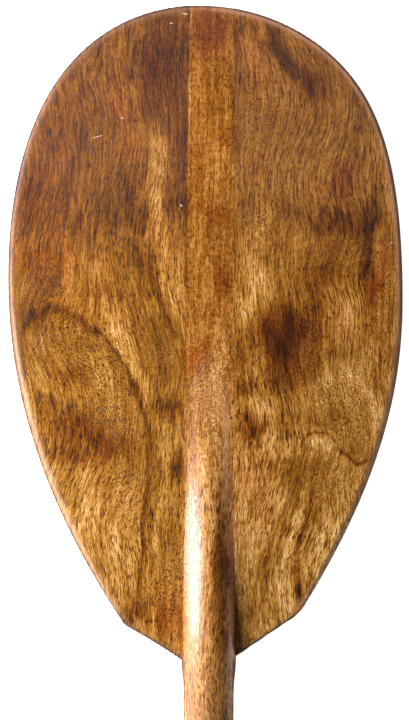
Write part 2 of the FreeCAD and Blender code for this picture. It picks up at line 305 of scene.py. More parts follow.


# Clouds in the wood: centre, half sizes, lean, how much darker (-) or lighter (+), how much redder (+)
# or more olive (-). A few of them are painted shade and painted light, as marked.
CLOUDS = [
    # left wing, from the tip down
    ((-30, 172), (12, 36), 0.0, -0.17, 0.2),
    ((-39, 160), (4, 26), 0.05, -0.10, 0.5),
    # painted shadow along the left seam
    ((-17, 135), (3.5, 72), 0.0, -0.13, 0.0),
    ((-30, 192), (7, 5), 0.0, 0.08, 0.0),
    ((-22, 100), (5, 32), 0.0, -0.08, -0.2),
    ((-17, 80), (4, 9), 0.0, -0.12, 0.1),
    ((-55, 130), (8, 27), -0.25, 0.05, 0.6),
    ((-62, 150), (6, 9), 0.0, 0.06, 0.5),
    ((-102, 105), (22, 52), 0.15, -0.09, 0.3),
    ((-100, 125), (3, 18), 0.0, 0.08, 0.5),
    ((-72, 110), (12, 40), 0.0, -0.04, -0.1),
    ((-91, 85), (3.5, 18), 0.0, -0.12, 0.0),
    ((-84, 63), (7, 9), 0.0, -0.15, 0.1),
    ((-118, 85), (8, 22), 0.0, -0.06, 0.5),
    ((-36, 117), (7, 13), -0.1, 0.24, 0.1),
    ((-37, 95), (6, 16), 0.0, 0.18, 0.1),
    ((-35, 78), (6, 12), 0.0, 0.15, 0.2),
    ((-31, 60), (10, 13), -0.1, 0.14, 0.3),
    ((-27, 38), (8, 18), -0.3, 0.17, 0.2),
    ((-20, 15), (6, 18), -0.2, 0.11, 0.2),
    ((-55, 90), (12, 16), 0.0, -0.12, -0.2),
    ((-46, 74), (5, 10), 0.0, -0.12, 0.2),
    ((-64, 72), (12, 10), 0.0, -0.10, -0.5),
    ((-52, 50), (9, 14), -0.2, -0.08, -0.3),
    ((-42, 32), (5, 16), -0.3, -0.11, -0.3),
    ((-93, 40), (5.5, 20), -0.05, 0.19, 0.8),
    ((-98, 68), (5, 10), 0.0, 0.05, 0.5),
    ((-110, 40), (12, 18), 0.0, -0.06, 0.6),
    ((-73, 45), (6, 7), 0.0, 0.17, 0.5),
    ((-70, 26), (7, 5), 0.0, -0.12, 0.3),
    ((-63, 14), (10, 17), -0.35, 0.16, 0.2),
    ((-54, -8), (8, 19), -0.35, 0.22, 0.1),
    ((-80, 18), (4, 14), 0.1, 0.07, 0.4),
    ((-45, -28), (5, 12), -0.3, 0.08, 0.0),
    ((-33, 2), (9, 18), -0.3, -0.02, -0.5),
    ((-28, -20), (8, 16), -0.2, -0.04, -0.4),
    ((-28, -66), (8, 8), 0.0, 0.06, -0.2),
    ((-112, 8), (10, 7), 0.0, -0.10, -0.3),
    ((-96, -8), (22, 16), 0.0, 0.04, -0.4),
    ((-110, -30), (8, 18), -0.2, 0.05, -0.3),
    ((-70, -30), (12, 22), -0.3, 0.11, -0.2),
    ((-91, -33), (9, 7), 0.0, -0.14, 0.3),
    ((-80, -10), (8, 5), 0.0, -0.06, 0.2),
    ((-108, -18), (6, 4), 0.0, -0.08, 0.2),
    ((-100, -54), (14, 8), -0.3, -0.14, 0.1),
    ((-84, -67), (16, 10), -0.4, -0.19, 0.4),
    ((-60, -73), (14, 9), -0.2, -0.19, 0.5),
    ((-93, -82), (13, 7), -0.5, -0.19, 0.3),
    ((-72, -82), (10, 5), 0.0, -0.10, 0.4),
    ((-62, -120), (12, 22), 0.2, 0.12, 0.1),
    ((-80, -116), (9, 14), 0.3, 0.09, 0.1),
    ((-60, -150), (9, 20), 0.1, 0.07, 0.0),
    ((-28, -51), (6, 6), 0.2, -0.28, 0.1),
    ((-36, -47), (6, 3), 0.0, -0.14, 0.0),
    ((-19, -50), (3, 7), 0.0, -0.16, 0.2),
    ((-20, -87), (5, 12), 0.0, -0.27, 0.5),
    ((-33, -95), (4, 16), 0.0, -0.07, -0.2),
    ((-28, -116), (7, 13), 0.0, 0.06, 0.1),
    ((-27, -178), (9, 14), 0.0, -0.05, 0.7),
    ((-47, -177), (6, 8), 0.0, -0.17, 0.1),
    # right wing, from the tip down
    ((16, 178), (3.5, 26), 0.0, -0.12, 0.2),
    ((15.5, 110), (3.5, 52), 0.0, -0.09, -0.3),
    ((30, 180), (7, 32), 0.0, 0.09, 0.7),
    ((44, 188), (6, 15), -0.4, -0.25, -0.1),
    ((54, 172), (9, 10), -0.8, -0.23, 0.0),
    ((61, 160), (12, 7), -0.4, -0.12, 0.4),
    ((88, 150), (12, 12), 0.4, 0.06, -0.6),
    ((94, 128), (9, 12), 0.3, -0.11, -0.5),
    ((110, 122), (4, 14), 0.3, 0.12, 0.0),
    ((62, 130), (6, 5), 0.0, -0.06, 0.2),
    ((86, 100), (10, 14), 0.0, -0.07, 0.8),
    ((70, 92), (6, 7), 0.0, 0.09, 0.7),
    ((50, 102), (14, 20), 0.1, 0.02, -0.2),
    ((82, 72), (20, 10), 0.0, -0.27, 0.3),
    ((99, 58), (5, 21), 0.1, -0.23, 0.0),
    ((106, 76), (6, 14), 0.0, -0.12, -0.2),
    ((50, 76), (9, 5), 0.0, -0.11, 0.2),
    ((76, 52), (12, 8), 0.0, -0.07, 0.2),
    ((68, 34), (9, 10), 0.0, -0.15, 0.3),
    ((97, 36), (6, 7), 0.0, -0.15, 0.3),
    ((110, 44), (7, 22), 0.0, 0.07, 1.0),
    ((103, 28), (5, 10), 0.0, -0.06, 0.8),
    ((115, 90), (3, 22), -0.1, 0.12, 0.4),
    ((33, 68), (6, 11), 0.0, 0.15, 0.1),
    ((30, 46), (7, 10), 0.0, 0.10, 0.2),
    ((30, 24), (6.5, 17), 0.15, 0.20, 0.2),
    ((20, 55), (4, 24), 0.0, 0.07, 0.0),
    ((20, 12), (4, 20), 0.0, 0.11, 0.1),
    ((48, 48), (7, 20), 0.1, 0.02, -0.2),
    ((86, 12), (9, 15), -0.1, 0.13, 0.4),
    ((108, 0), (10, 24), 0.0, 0.06, 0.4),
    ((46, 2), (13, 19), 0.0, -0.30, 0.6),
    ((62, 8), (11, 14), 0.1, -0.17, 0.5),
    ((50, -22), (14, 17), 0.0, -0.28, 0.5),
    ((68, -12), (6, 12), 0.0, -0.07, 0.3),
    ((25, -12), (9, 14), 0.0, -0.11, 0.2),
    ((24, -38), (8, 5), 0.0, -0.17, 0.4),
    ((17, -25), (3, 20), 0.0, -0.08, 0.3),
    ((50, -52), (6, 14), 0.0, -0.14, -0.2),
    ((51, -90), (10, 13), 0.0, -0.18, 0.0),
    ((54, -106), (5, 8), 0.3, -0.12, 0.0),
    ((84, -26), (14, 6), -0.2, 0.15, 0.2),
    ((100, -42), (10, 9), -0.4, 0.13, 0.3),
    ((108, -60), (6, 14), 0.2, 0.09, 0.3),
    ((76, -54), (11, 8), 0.0, -0.11, -0.2),
    ((36, -50), (7, 5), 0.0, 0.13, 0.2),
    ((27, -62), (10, 8), 0.1, -0.29, 0.6),
    ((39, -72), (4, 8), 0.0, 0.11, 0.3),
    ((28, -88), (10, 14), 0.0, 0.05, 0.7),
    ((34, -118), (9, 18), 0.1, 0.07, 0.5),
    ((71, -73), (7, 7), -0.3, 0.18, 0.0),
    ((90, -76), (7, 6), 0.0, -0.07, 0.0),
    ((66, -92), (7, 8), 0.0, -0.11, 0.0),
    ((47, -135), (3, 18), 0.25, -0.15, 0.1),
    ((54, -130), (3, 22), 0.25, 0.15, 0.0),
    ((61, -128), (2.5, 18), 0.3, -0.13, 0.0),
    ((72, -122), (4, 5), 0.0, -0.14, 0.0),
    ((68, -146), (5, 9), 0.3, 0.14, 0.0),
    ((78, -122), (4, 9), 0.3, 0.10, 0.1),
    ((57, -162), (3.5, 12), 0.1, -0.20, 0.1),
    ((50, -168), (4, 12), 0.0, 0.13, 0.0),
    ((38, -155), (3, 18), 0.1, -0.15, 0.0),
    # centre strip, from the tip down
    ((0, 196), (12, 14), 0.0, -0.12, 0.7),
    ((-8, 148), (7, 36), 0.0, 0.08, 0.3),
    ((6, 110), (9, 24), 0.0, 0.06, 0.3),
    ((-9, 108), (4, 14), 0.0, -0.05, 0.5),
    ((0, 78), (16, 7), 0.0, -0.05, 0.5),
    ((8, 34), (6, 14), -0.2, -0.13, 0.6),
    ((8, -26), (7, 22), 0.0, 0.08, 0.0),
    ((-8, -16), (8, 12), 0.0, -0.04, 0.7),
    ((0, -60), (14, 34), 0.0, 0.12, -0.1),
    # painted light: the shelf right of the ridge, which faces up beside the shaded flank, made lighter and
    # redder
    ((14.6, -152), (3.0, 46), 0.0, 0.42, 0.9),
    # painted shade on the ridge's right flank
    ((7, -150), (4, 50), 0.0, -0.10, 0.1),
    ((-3, -140), (4, 70), 0.0, 0.12, 0.0),
    # painted shade low on the ridge's right flank, by the throat
    ((14, -193), (4, 9), 0.0, -0.25, 0.3),
]

# Growth lines: the points they run through, their width, and how much darker (-) or lighter (+) they are
# at their start and end.
LINES = [
    ([(-117, 4), (-112, 11), (-104, 14), (-94, 14), (-84, 8), (-74, 1)], 2.8, -0.18, -0.24),
    ([(-72, -1), (-68, -4), (-60, -13), (-54, -22)], 1.1, -0.26, -0.34),
    ([(-52.5, -25), (-47, -39), (-41, -55), (-38, -70), (-39, -85), (-40, -100), (-42, -122),
      (-44, -150), (-46, -178)], 1.8, -0.30, -0.20),
    ([(-119, -26), (-121, -12), (-118, 2)], 1.8, -0.14, -0.10),
    ([(-43, 58), (-39, 36), (-32, 20), (-21, -2)], 1.5, -0.06, -0.20),
    ([(-46, 56), (-43, 34), (-36, 18), (-27, 0)], 1.1, 0.04, 0.16),
    ([(58, -72), (60, -67), (66, -63.5), (73, -64.5), (79, -71), (84, -77), (90, -81), (96, -84),
      (100, -80)], 0.9, -0.26, -0.36),
    ([(66, -34), (72, -28), (82, -22), (92, -28), (102, -40), (112, -52)], 1.6, 0.06, 0.14),
    ([(102, 70), (103, 56), (101, 42), (94, 32), (97, 20), (112, 16)], 1.2, -0.14, -0.08),
    ([(22, -48), (56, -92), (47, -114), (36, -150)], 1.0, 0.0, -0.12),
    ([(66, -104), (60, -128), (56, -150), (57, -166)], 1.1, -0.14, -0.22),
    ([(40, -88), (44, -104), (38, -130), (30, -160), (27, -184)], 1.0, -0.06, -0.18),
    ([(70, -112), (64, -130), (62, -146), (66, -158)], 1.0, -0.12, -0.18),
]

# Places where the grain leans or swirls: centre, half sizes, and how far the grain is pushed sideways
# for each millimetre along it.
LEANS = [
    ((-108, 70), (26, 44), 0.55),
    ((-104, 20), (20, 26), 0.75),
    ((-52, 20), (26, 44), -0.28),
    ((-36, 0), (16, 34), -0.30),
    ((-58, 150), (22, 28), -0.35),
    ((-92, -88), (34, 34), 0.42),
    ((-60, -108), (24, 30), 0.38),
    ((-50, -168), (20, 30), 0.10),
    ((-68, -20), (24, 24), -0.20),
    ((46, 112), (24, 40), 0.22),
    ((72, 120), (18, 30), 0.35),
    ((60, 180), (30, 26), -0.40),
    ((84, 52), (24, 20), 0.50),
    ((48, 58), (18, 24), 0.22),
    ((44, -100), (26, 50), 0.35),
    ((64, -140), (26, 40), 0.38),
    ((86, -44), (30, 22), -0.30),
    ((86, -84), (22, 16), 0.55),
    ((4, -170), (20, 60), 0.16),
]

# Parts where the grain shows as short dots rather than streaks: centre and half sizes.
DOTS = [
    ((-96, -8), (26, 16)), ((-66, -24), (20, 26)), ((-30, -8), (12, 18)), ((-58, -60), (18, 18)),
    ((-54, -100), (14, 20)), ((112, 30), (12, 36)), ((84, -36), (24, 18)), ((86, -66), (20, 12)),
    ((84, 52), (22, 14)), ((54, 0), (20, 26)), ((-108, 30), (22, 18)), ((72, -96), (16, 14)),
    ((34, 74), (20, 12)), ((30, 140), (16, 20)), ((0, -40), (16, 40)), ((-20, -160), (16, 30)),
]


def wavering(x, y):
    """Places pushed about by smooth noise, part of it drawn out along the grain, so that clouds and lines
    have natural, streaky edges."""
    across = 3.4 * value_noise(x, y, 20, 11) + 1.8 * value_noise(x, y, 6, 12)
    along = 5.0 * value_noise(x, y, 24, 13) + 6.0 * value_noise(x, y / 7, 2.6, 14)
    return x + across + 1.6 * value_noise(x, y / 5, 3.0, 15), y + along


def figure(x, y):
    """The wood's figure at each point: its lightness, its redness, a painted pinkish reflection that grows
    towards the tip, how dotted it is, how strong its fine grain is, and painted highlights on the ridge's
    two flanks.
    Sums of soft clouds and lines over slow noise; a few of the clouds are painted shade and painted light."""
    wx, wy = wavering(x, y)
    on_strip = np.abs(x) < seam(y) + 0.01
    light = 0.5 + 0.035 * value_noise(x, y, 9, 31) + 0.03 * value_noise(x, y / 3, 5, 32)
    red = 0.15 * value_noise(x, y, 26, 33)
    for centre, half, lean, lighter, redder in CLOUDS:
        is_strip = abs(centre[0]) < 16
        cloud = blob(wx, wy, centre, half, lean) * np.where(on_strip == is_strip, 1, 0)
        light = light + lighter * cloud
        red = red + redder * cloud
    for points, width, start, end in LINES:
        gap = line_distance(wx * 0.35 + x * 0.65, wy * 0.35 + y * 0.65, points)
        run = np.clip((points[0][1] - y) / max(abs(points[0][1] - points[-1][1]), 1), 0, 1)
        light = light + mix(start, end, run) * np.exp(-(gap / width) ** 2) * ~on_strip
    glue_line = smooth(seam(y) - 1.0, seam(y) - 0.4, -x) * smooth(60, 120, y)
    light = light + 0.14 * glue_line * on_strip
    dots = sum(blob(wx, wy, centre, half) for centre, half in DOTS)
    # painted pinkish reflection, rising towards the tip: on the strip only near the tip, on the wings from
    # the middle on
    painted_reflection = np.where(on_strip, smooth(150, 205, y), smooth(20, 130, y))
    bite = mix(1.6, 1.3, smooth(-90, 110, y))
    lower = smooth(-120, 70, y)
    light = light + mix(0.08, -0.03, lower) - 0.05 * smooth(60, 190, y)
    # painted highlights on the ridge: a faint pale one on the right flank and a broader one on the left
    # flank, weaker on the shaft
    right_flank_highlight = np.exp(-((x - 10.5) / 2.2) ** 2) * smooth(-24, -50, y) * smooth(-128, -100, y) * 0.5
    left_flank_highlight = np.exp(-((x + 11.5) / 4.0) ** 2) * smooth(-36, -110, y)
    left_flank_highlight = left_flank_highlight * mix(0.5, 0.25, smooth(-190, -215, y))
    painted_highlight = (right_flank_highlight + left_flank_highlight) * on_strip
    return light, red, painted_reflection, np.clip(dots, 0, 1), bite, painted_highlight


def grain_place(x, y):
    """Where a point lies in the straight-grained wood: across it and along it. Where the grain leans, it is
    pushed sideways by a share of the distance along, within a soft bell exp(-r^2)."""
    across = x + 0.8 * value_noise(x, y, 18, 51) + 0.3 * value_noise(x, y, 7, 52)
    along = y + 1.5 * value_noise(x, y, 12, 53)
    for centre, half, lean in LEANS:
        dx, dy = x - centre[0], y - centre[1]
        bell = np.exp(-(dx / half[0] / 1.2) ** 2 - (dy / half[1] / 1.2) ** 2)
        across = across - 0.75 * lean * dy * bell
    return across, along


# ---------------------------------------------------------------- making a piece
def write_attribute(mesh, name, kind, values):
    """Stores one value or vector for each point of a mesh, for the material to read."""
    layer = mesh.attributes.new(name, kind, "POINT")
    field = "vector" if kind == "FLOAT_VECTOR" else "value"
    layer.data.foreach_set(field, np.ascontiguousarray(values, dtype=np.float32).ravel())


def slab(name, top, bottom, distance=None):
    """A closed piece between two sheets on the same grid, rows by columns: the top sheet, the bottom sheet
    turned over, and a strip of faces round their four borders. Points that meet are welded. Distance is
    each point's distance from the blade's edge, which places the painted highlight and the painted dark
    shade along the rim."""
    rows, columns = top.shape[:2]
    index = np.arange(rows * columns).reshape(rows, columns)
    a, b, c, d = index[:-1, :-1], index[:-1, 1:], index[1:, 1:], index[1:, :-1]
    upper = np.stack([a, b, c, d], axis=-1).reshape(-1, 4)
    lower = upper[:, ::-1] + rows * columns
    border = np.concatenate([index[0], index[1:, -1], index[-1, -2::-1], index[-2:0:-1, 0]])
    following = np.roll(border, -1)
    walls = np.stack([border, border + rows * columns, following + rows * columns, following], axis=-1)
    points = np.concatenate([top.reshape(-1, 3), bottom.reshape(-1, 3)])
    mesh = bpy.data.meshes.new(name)
    mesh.from_pydata((points * MM).tolist(), [], np.concatenate([upper, lower, walls]).tolist())
    x, y = points[:, 0], points[:, 1]
    light, red, painted_reflection, dots, bite, painted_highlight = figure(x, y)
    across, along = grain_place(x, y)
    edge = np.full(top.shape[:2], FAR_FROM_RIM) if distance is None else distance
    edge = np.tile(edge.ravel(), 2)
    painted_highlight, painted_edge_shade, satin = edge_painted_light_and_dullness(x, y, edge, painted_highlight)
    values = {"light": light, "red": red, "painted_reflection": painted_reflection, "dots": dots, "bite": bite,
              "painted_highlight": painted_highlight, "painted_edge_shade": painted_edge_shade, "satin": satin}
    for key, value in values.items():
        write_attribute(mesh, key, "FLOAT", value)
    place = np.stack([across, along, points[:, 2]], axis=1) * MM
    write_attribute(mesh, "grain", "FLOAT_VECTOR", place)
    return finish_mesh(name, mesh)


def edge_painted_light_and_dullness(x, y, edge, painted_highlight):
    """Painted pale highlight, painted dark shade and dull varnish along the rim, each a bell exp(-(d /
    width)^2) of the distance from the edge; the shaft's two sides get painted dark shade and dull varnish as
    well."""
    pale_in, pale_width, dull_width = 2.4, 1.5, 4.0
    # painted highlight along the rounded rim, a little in from the edge, none at the shoulders
    rim_highlight = np.exp(-((edge - pale_in) / pale_width) ** 2) * smooth(-190, -170, y)
    right_rim_highlight = mix(0.35, 0.8, smooth(-110, -50, y))
    left_rim_highlight = mix(0.55, 0.3, smooth(-20, 60, y))
    painted_highlight = np.clip(painted_highlight + rim_highlight * np.where(x > 0, right_rim_highlight, left_rim_highlight), 0, 1)
    # painted dark shade at the very edge of the rim and down the shaft's two sides
    dark_width = np.where(y < -178, 1.9, np.where(x < 0, 1.3, 0.9))
    outline = np.exp(-(edge / dark_width) ** 2)
    shaft_side_shade = smooth(14.4, 15.9, np.abs(x)) * smooth(-203, -212, y) * (edge == FAR_FROM_RIM)
    painted_edge_shade = np.maximum(outline, 0.8 * shaft_side_shade)
    satin = np.maximum(smooth(-196, -222, y), np.exp(-(edge / dull_width) ** 2))
    return painted_highlight, painted_edge_shade, satin


def finish_mesh(name, mesh):
    """Welds a mesh's doubled points, turns its faces outwards, and shades it smooth up to 50 degrees."""
    work = bmesh.new()
    work.from_mesh(mesh)
    bmesh.ops.remove_doubles(work, verts=work.verts, dist=0.004 * MM)
    bmesh.ops.dissolve_degenerate(work, edges=work.edges, dist=0.002 * MM)
    bmesh.ops.recalc_face_normals(work, faces=work.faces)
    work.to_mesh(mesh)
    work.free()
    mesh.shade_smooth()
    mesh.set_sharp_from_angle(angle=math.radians(50))
    piece = bpy.data.objects.new(name, mesh)
    bpy.context.scene.collection.objects.link(piece)
    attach(piece, "root")
    return piece


# ---------------------------------------------------------------- the blade's wings
WING_COLUMNS = 96
WING_ROWS = 430
SHOULDER_ROWS = 70


def wing(name, side):
    """One wing: straight rows from the seam out to the rim. Each row starts on the centre strip's side and
    ends on the outline; the stations crowd together at the rim, where the edge is rounded."""
    rim = RIMS[side]
    travelled = lengths_along(rim)
    corner = travelled[np.argmin(np.hypot(*(rim - OUTLINE[0 if side < 0 else -1]).T))]
    shoulder = np.linspace(0, corner, SHOULDER_ROWS)
    beyond = np.linspace(0, 1, WING_ROWS - SHOULDER_ROWS + 1)[1:]
    side_run = corner + (travelled[-1] - corner) * beyond
    stations = np.concatenate([shoulder, side_run])
    outer = resample(rim, stations)
    share = stations / travelled[-1]
    height = (outer[:, 1] - outer[0, 1]) / (outer[-1, 1] - outer[0, 1])
    climb = np.maximum.accumulate(0.5 * share + 0.5 * np.clip(height, 0, 1))
    climb = climb / climb[-1]
    inner_y = mix(rim[0, 1], rim[-1, 1], climb)
    inner = np.stack([side * seam(inner_y), inner_y], axis=1)
    inner[0], inner[-1] = outer[0], outer[-1]
    reach = 1 - (1 - np.linspace(0, 1, WING_COLUMNS)) ** 1.5
    plan = inner[:, None, :] + (outer - inner)[:, None, :] * reach[None, :, None]
    x, y = plan[..., 0], plan[..., 1]
    distance = rim_distance(x, y)
    distance[:, -1] = distance[0] = distance[-1] = 0
    front = np.stack([x, y, blade_front(x, y, distance)], axis=-1)
    back = np.stack([x, y, blade_back(x, y, distance)], axis=-1)
    return slab(name, front, back, distance)


# ---------------------------------------------------------------- the centre strip and the shaft
SHELF = 5
CREST = 64
WALL = 5
COLUMNS = CREST + 2 * (SHELF + WALL)
FLARE_END = -234.0
FLARE_START = -208.0
LEAN_START = -60.0
SCARF_ROWS = 60
TIP_ROWS = 200
# Angle from the top of the shaft's oval to the glue plane, as the oval's own parameter.
ARC = math.acos((GLUE_PLANE - SHAFT_HALF_DEPTH) / SHAFT_HALF_DEPTH)


def flare(y):
    """How much of the blade's section is left: 1 in the blade, easing to 0 where the shaft is oval."""
    return smooth(FLARE_END, FLARE_START, y)


def blade_section(y):
    """The front lamination's section in the blade: a wall up from the glue plane, a narrow shelf, the ridge,
    and the same again on the right. On the ridge x is half its width times the sine of an even angle."""
    half = seam(y)
    ridge_half = ridge_half_width(y)
    x = ridge_half * np.sin(np.linspace(-np.pi / 2, np.pi / 2, COLUMNS))
    crest = np.sin(np.linspace(-np.pi / 2, np.pi / 2, CREST))
    x[:, WALL + SHELF:-WALL - SHELF] = ridge_half[:, :CREST] * crest
    ramp = np.linspace(0, 1, SHELF + 1)[:-1]
    shelf = half[:, :SHELF] - (half - ridge_half)[:, :SHELF] * ramp
    x[:, WALL:WALL + SHELF] = -shelf
    x[:, -WALL - SHELF:-WALL] = shelf[:, ::-1]
    x[:, :WALL] = -half[:, :WALL]
    x[:, -WALL:] = half[:, :WALL]
    z = panel(x, y) + ridge_bulge(x, y)
    climb = np.linspace(0, 1, WALL + 1)[:-1]
    z[:, :WALL] = mix(GLUE_PLANE, z[:, :WALL], climb)
    z[:, -WALL:] = mix(GLUE_PLANE, z[:, -WALL:], climb[::-1])
    return x, z


def around_share():
    """Share of the way round the section at the throat, from -1 to 1, at each column."""
    x, z = blade_section(np.full((1, COLUMNS), THROAT))
    travelled = lengths_along(np.stack([x[0], z[0]], axis=1))
    return travelled / travelled[-1] * 2 - 1


AROUND = around_share()
ACROSS = blade_section(np.full((1, COLUMNS), THROAT))[0][0] / THROAT_HALF
LEVEL = np.linspace(-1, 1, COLUMNS)


def strip_end(share):
    """Where the front lamination ends, at each share of the strip's width from left to right."""
    return mix(STRIP_END_LEFT, STRIP_END_RIGHT, (share + 1) / 2)


def straight_rows():
    """Places along the shaft, the flare and the ridge, closer together where the shape changes."""
    shaft = np.linspace(SHOULDER, FLARE_END - 4, 150, endpoint=False)
    throat = np.linspace(FLARE_END - 4, FLARE_START + 8, 60, endpoint=False)
    ridge = np.linspace(FLARE_START + 8, LEAN_START, 120)
    return np.concatenate([shaft, throat, ridge])


def rows_to_scarf(share):
    """Straight rows up the shaft and the ridge, and then rows that lean over to the slanting scarf."""
    straight = np.repeat(straight_rows()[:, None], COLUMNS, axis=1)
    steps = np.linspace(0, 1, SCARF_ROWS + 1)[1:, None]
    return np.concatenate([straight, mix(LEAN_START, strip_end(share)[None, :], steps)])


def stave_front():
    """Ridge and front of the shaft: the blade's section turns into an arc of the shaft's oval, point for
    point, as the flare eases away."""
    y = rows_to_scarf(ACROSS)
    x, z = blade_section(y)
    x = mix(SHAFT_HALF_WIDTH * np.sin(AROUND * ARC), x, flare(y))
    z = mix(SHAFT_HALF_DEPTH * (1 + np.cos(AROUND * ARC)), z, flare(y))
    top = np.stack([x, y, z], axis=-1)
    even = (LEVEL + 1) / 2
    flat_x = mix(x[:, :1], x[:, -1:], even)
    flat_y = mix(y[:, :1], y[:, -1:], even)
    bottom = np.stack([flat_x, flat_y, np.full_like(flat_x, GLUE_PLANE)], axis=-1)
    return slab("stave_front", top, bottom)


def stave_back():
    """Back of the shaft and the blade's centre strip: below the glue plane as far as the scarf, and the
    strip's whole thickness from there to the tip. The back is flat in the blade and an arc in the shaft."""
    under_y = rows_to_scarf(LEVEL)
    half = mix(SHAFT_HALF_WIDTH * math.sin(ARC), seam(under_y), flare(under_y))
    under = np.stack([half * LEVEL, under_y, np.full_like(under_y, GLUE_PLANE)], axis=-1)
    whole = spline(OUTLINE, OUTLINE_POINTS)
    far = whole[whole[:, 1] > 190]
    tip = np.interp(LEVEL * TIP_HALF, far[:, 0], far[:, 1])
    steps = (1 - (1 - np.linspace(0, 1, TIP_ROWS)) ** 1.25)[:, None]
    y = mix(strip_end(LEVEL)[None, :], tip[None, :], steps)
    x = LEVEL * seam(y)
    distance = np.where(y > 100, rim_distance(x, y), FAR_FROM_RIM)
    distance[-1] = 0
    over = np.stack([x, y, blade_front(x, y, distance)], axis=-1)
    turn = np.pi - (np.pi - ARC) * LEVEL
    arc_x = SHAFT_HALF_WIDTH * np.sin(turn)
    arc_z = SHAFT_HALF_DEPTH * (1 + np.cos(turn))
    low_x = mix(arc_x, seam(under_y) * LEVEL, flare(under_y))
    low_z = mix(arc_z, 0, flare(under_y))
    low = np.stack([low_x, under_y, low_z], axis=-1)
    high = np.stack([x, y, blade_back(x, y, distance)], axis=-1)
    edge = np.concatenate([np.full_like(under_y, FAR_FROM_RIM), distance])
    return slab("stave_back", np.concatenate([under, over]), np.concatenate([low, high]), edge)


# ---------------------------------------------------------------- the varnished wood
class Nodes:
    """A material's nodes, made one call at a time."""

    def __init__(self, name):
        self.material = bpy.data.materials.new(name)
        self.material.use_nodes = True
        self.tree = self.material.node_tree
        self.shader = self.tree.nodes["Principled BSDF"]

    def add(self, kind, **settings):
        """A new node of a kind, with its settings."""
        node = self.tree.nodes.new(kind)
        for key, value in settings.items():
            setattr(node, key, value)
        return node

    def join(self, value, socket):
        """Links an output to a socket, or sets the socket to a plain value."""
        if isinstance(value, bpy.types.NodeSocket):
            self.tree.links.new(value, socket)
        else:
            socket.default_value = value

    def math(self, operation, one, other=0.0, third=0.0, clamp=False):
        """One step of arithmetic on up to three values."""
        node = self.add("ShaderNodeMath", operation=operation, use_clamp=clamp)
        for value, socket in zip((one, other, third), node.inputs):
            self.join(value, socket)
        return node.outputs[0]

    def spread(self, value, low, high, to_low=0.0, to_high=1.0):
        """A value's range mapped to another, with soft ends."""
        node = self.add("ShaderNodeMapRange", interpolation_type="SMOOTHSTEP")
        for socket, item in zip(node.inputs, (value, low, high, to_low, to_high)):
            self.join(item, socket)
        return node.outputs[0]

    def attribute(self, name, output="Fac"):
        """A value or vector stored on the mesh's points."""
        return self.add("ShaderNodeAttribute", attribute_name=name).outputs[output]

    def noise(self, place, cell, detail, rough, twist):
        """Noise whose cells are cell millimetres across, along and through."""
        scale = self.add("ShaderNodeVectorMath", operation="MULTIPLY")
        self.join(place, scale.inputs[0])
        scale.inputs[1].default_value = [1 / (side * MM) for side in cell]
        node = self.add("ShaderNodeTexNoise", noise_dimensions="3D")
        self.join(scale.outputs[0], node.inputs["Vector"])
        settings = {"Scale": 1.0, "Detail": detail, "Roughness": rough, "Distortion": twist}
        for key, value in settings.items():
            node.inputs[key].default_value = value
        return node.outputs["Fac"]

    def ramp(self, value, stops):
        """A value turned into colour through stops of place and screen colour."""
        node = self.add("ShaderNodeValToRGB")
        self.join(value, node.inputs[0])
        bars = node.color_ramp.elements
        while len(bars) < len(stops):
            bars.new(0.5)
        for bar, (place, colour) in zip(bars, stops):
            bar.position = place
            bar.color = (*linear(colour), 1)
        return node.outputs[0]

    def blend(self, share, one, other, kind="MIX"):
        """Two colours blended by a share."""
        node = self.add("ShaderNodeMix", data_type="RGBA", blend_type=kind)
        self.join(share, node.inputs["Factor"])
        for value, socket in ((one, node.inputs[6]), (other, node.inputs[7])):
            if isinstance(value, tuple):
                value = (*linear(value), 1)
            self.join(value, socket)
        return node.outputs[2]

    def bump(self, height, distance, strength):
        """Fine relief on the shader's surface, as deep as a distance in millimetres."""
        node = self.add("ShaderNodeBump")
        self.join(height, node.inputs["Height"])
        node.inputs["Distance"].default_value = distance * MM
        node.inputs["Strength"].default_value = strength
        self.tree.links.new(node.outputs[0], self.shader.inputs["Normal"])


def linear(colour):
    """Screen levels out of 255 turned into the light that a shader works in."""
    level = np.array(colour, float) / 255
    return tuple(np.where(level <= 0.04045, level / 12.92, ((level + 0.055) / 1.055) ** 2.4))


# The wood's tones from dark to light: place on the ramp and screen colour.
WOOD_TONES = [(0.0, (34, 14, 4)), (0.16, (63, 29, 4)), (0.32, (95, 51, 9)), (0.48, (129, 77, 18)),
              (0.64, (163, 107, 33)), (0.80, (200, 148, 74)), (1.0, (243, 203, 140))]


# Small pale marks in the varnish: centre, half length, half width and turn from the X axis in degrees.
MARKS = [((-73, 125), 3.6, 0.35, 14), ((-19, 81), 0.8, 0.8, 0), ((-35, 76), 0.7, 0.5, 0),
         ((-17, 204), 2.0, 0.6, -8), ((-26, 198), 1.2, 0.5, 0), ((116, 58), 0.6, 0.6, 0),
         ((118, 34), 0.6, 0.5, 0), ((-57, 137), 0.9, 0.6, 20)]


def pale_mark(n, place, centre, half_length, half_width, turn):
    """1 inside a small oval on the front, 0 outside, from a place turned and scaled to the mark's size."""
    node = n.add("ShaderNodeMapping", vector_type="TEXTURE")
    n.join(place, node.inputs["Vector"])
    node.inputs["Location"].default_value = (centre[0] * MM, centre[1] * MM, 0)
    node.inputs["Rotation"].default_value = (0, 0, math.radians(turn))
    node.inputs["Scale"].default_value = (half_length * MM, half_width * MM, 1)
    flat = n.add("ShaderNodeVectorMath", operation="MULTIPLY")
    n.join(node.outputs[0], flat.inputs[0])
    flat.inputs[1].default_value = (1, 1, 0)
    size = n.add("ShaderNodeVectorMath", operation="LENGTH")
    n.join(flat.outputs[0], size.inputs[0])
    return n.spread(size.outputs["Value"], 1.3, 0.6)


RED_TINT = (226, 126, 76)
OLIVE_TINT = (200, 212, 140)
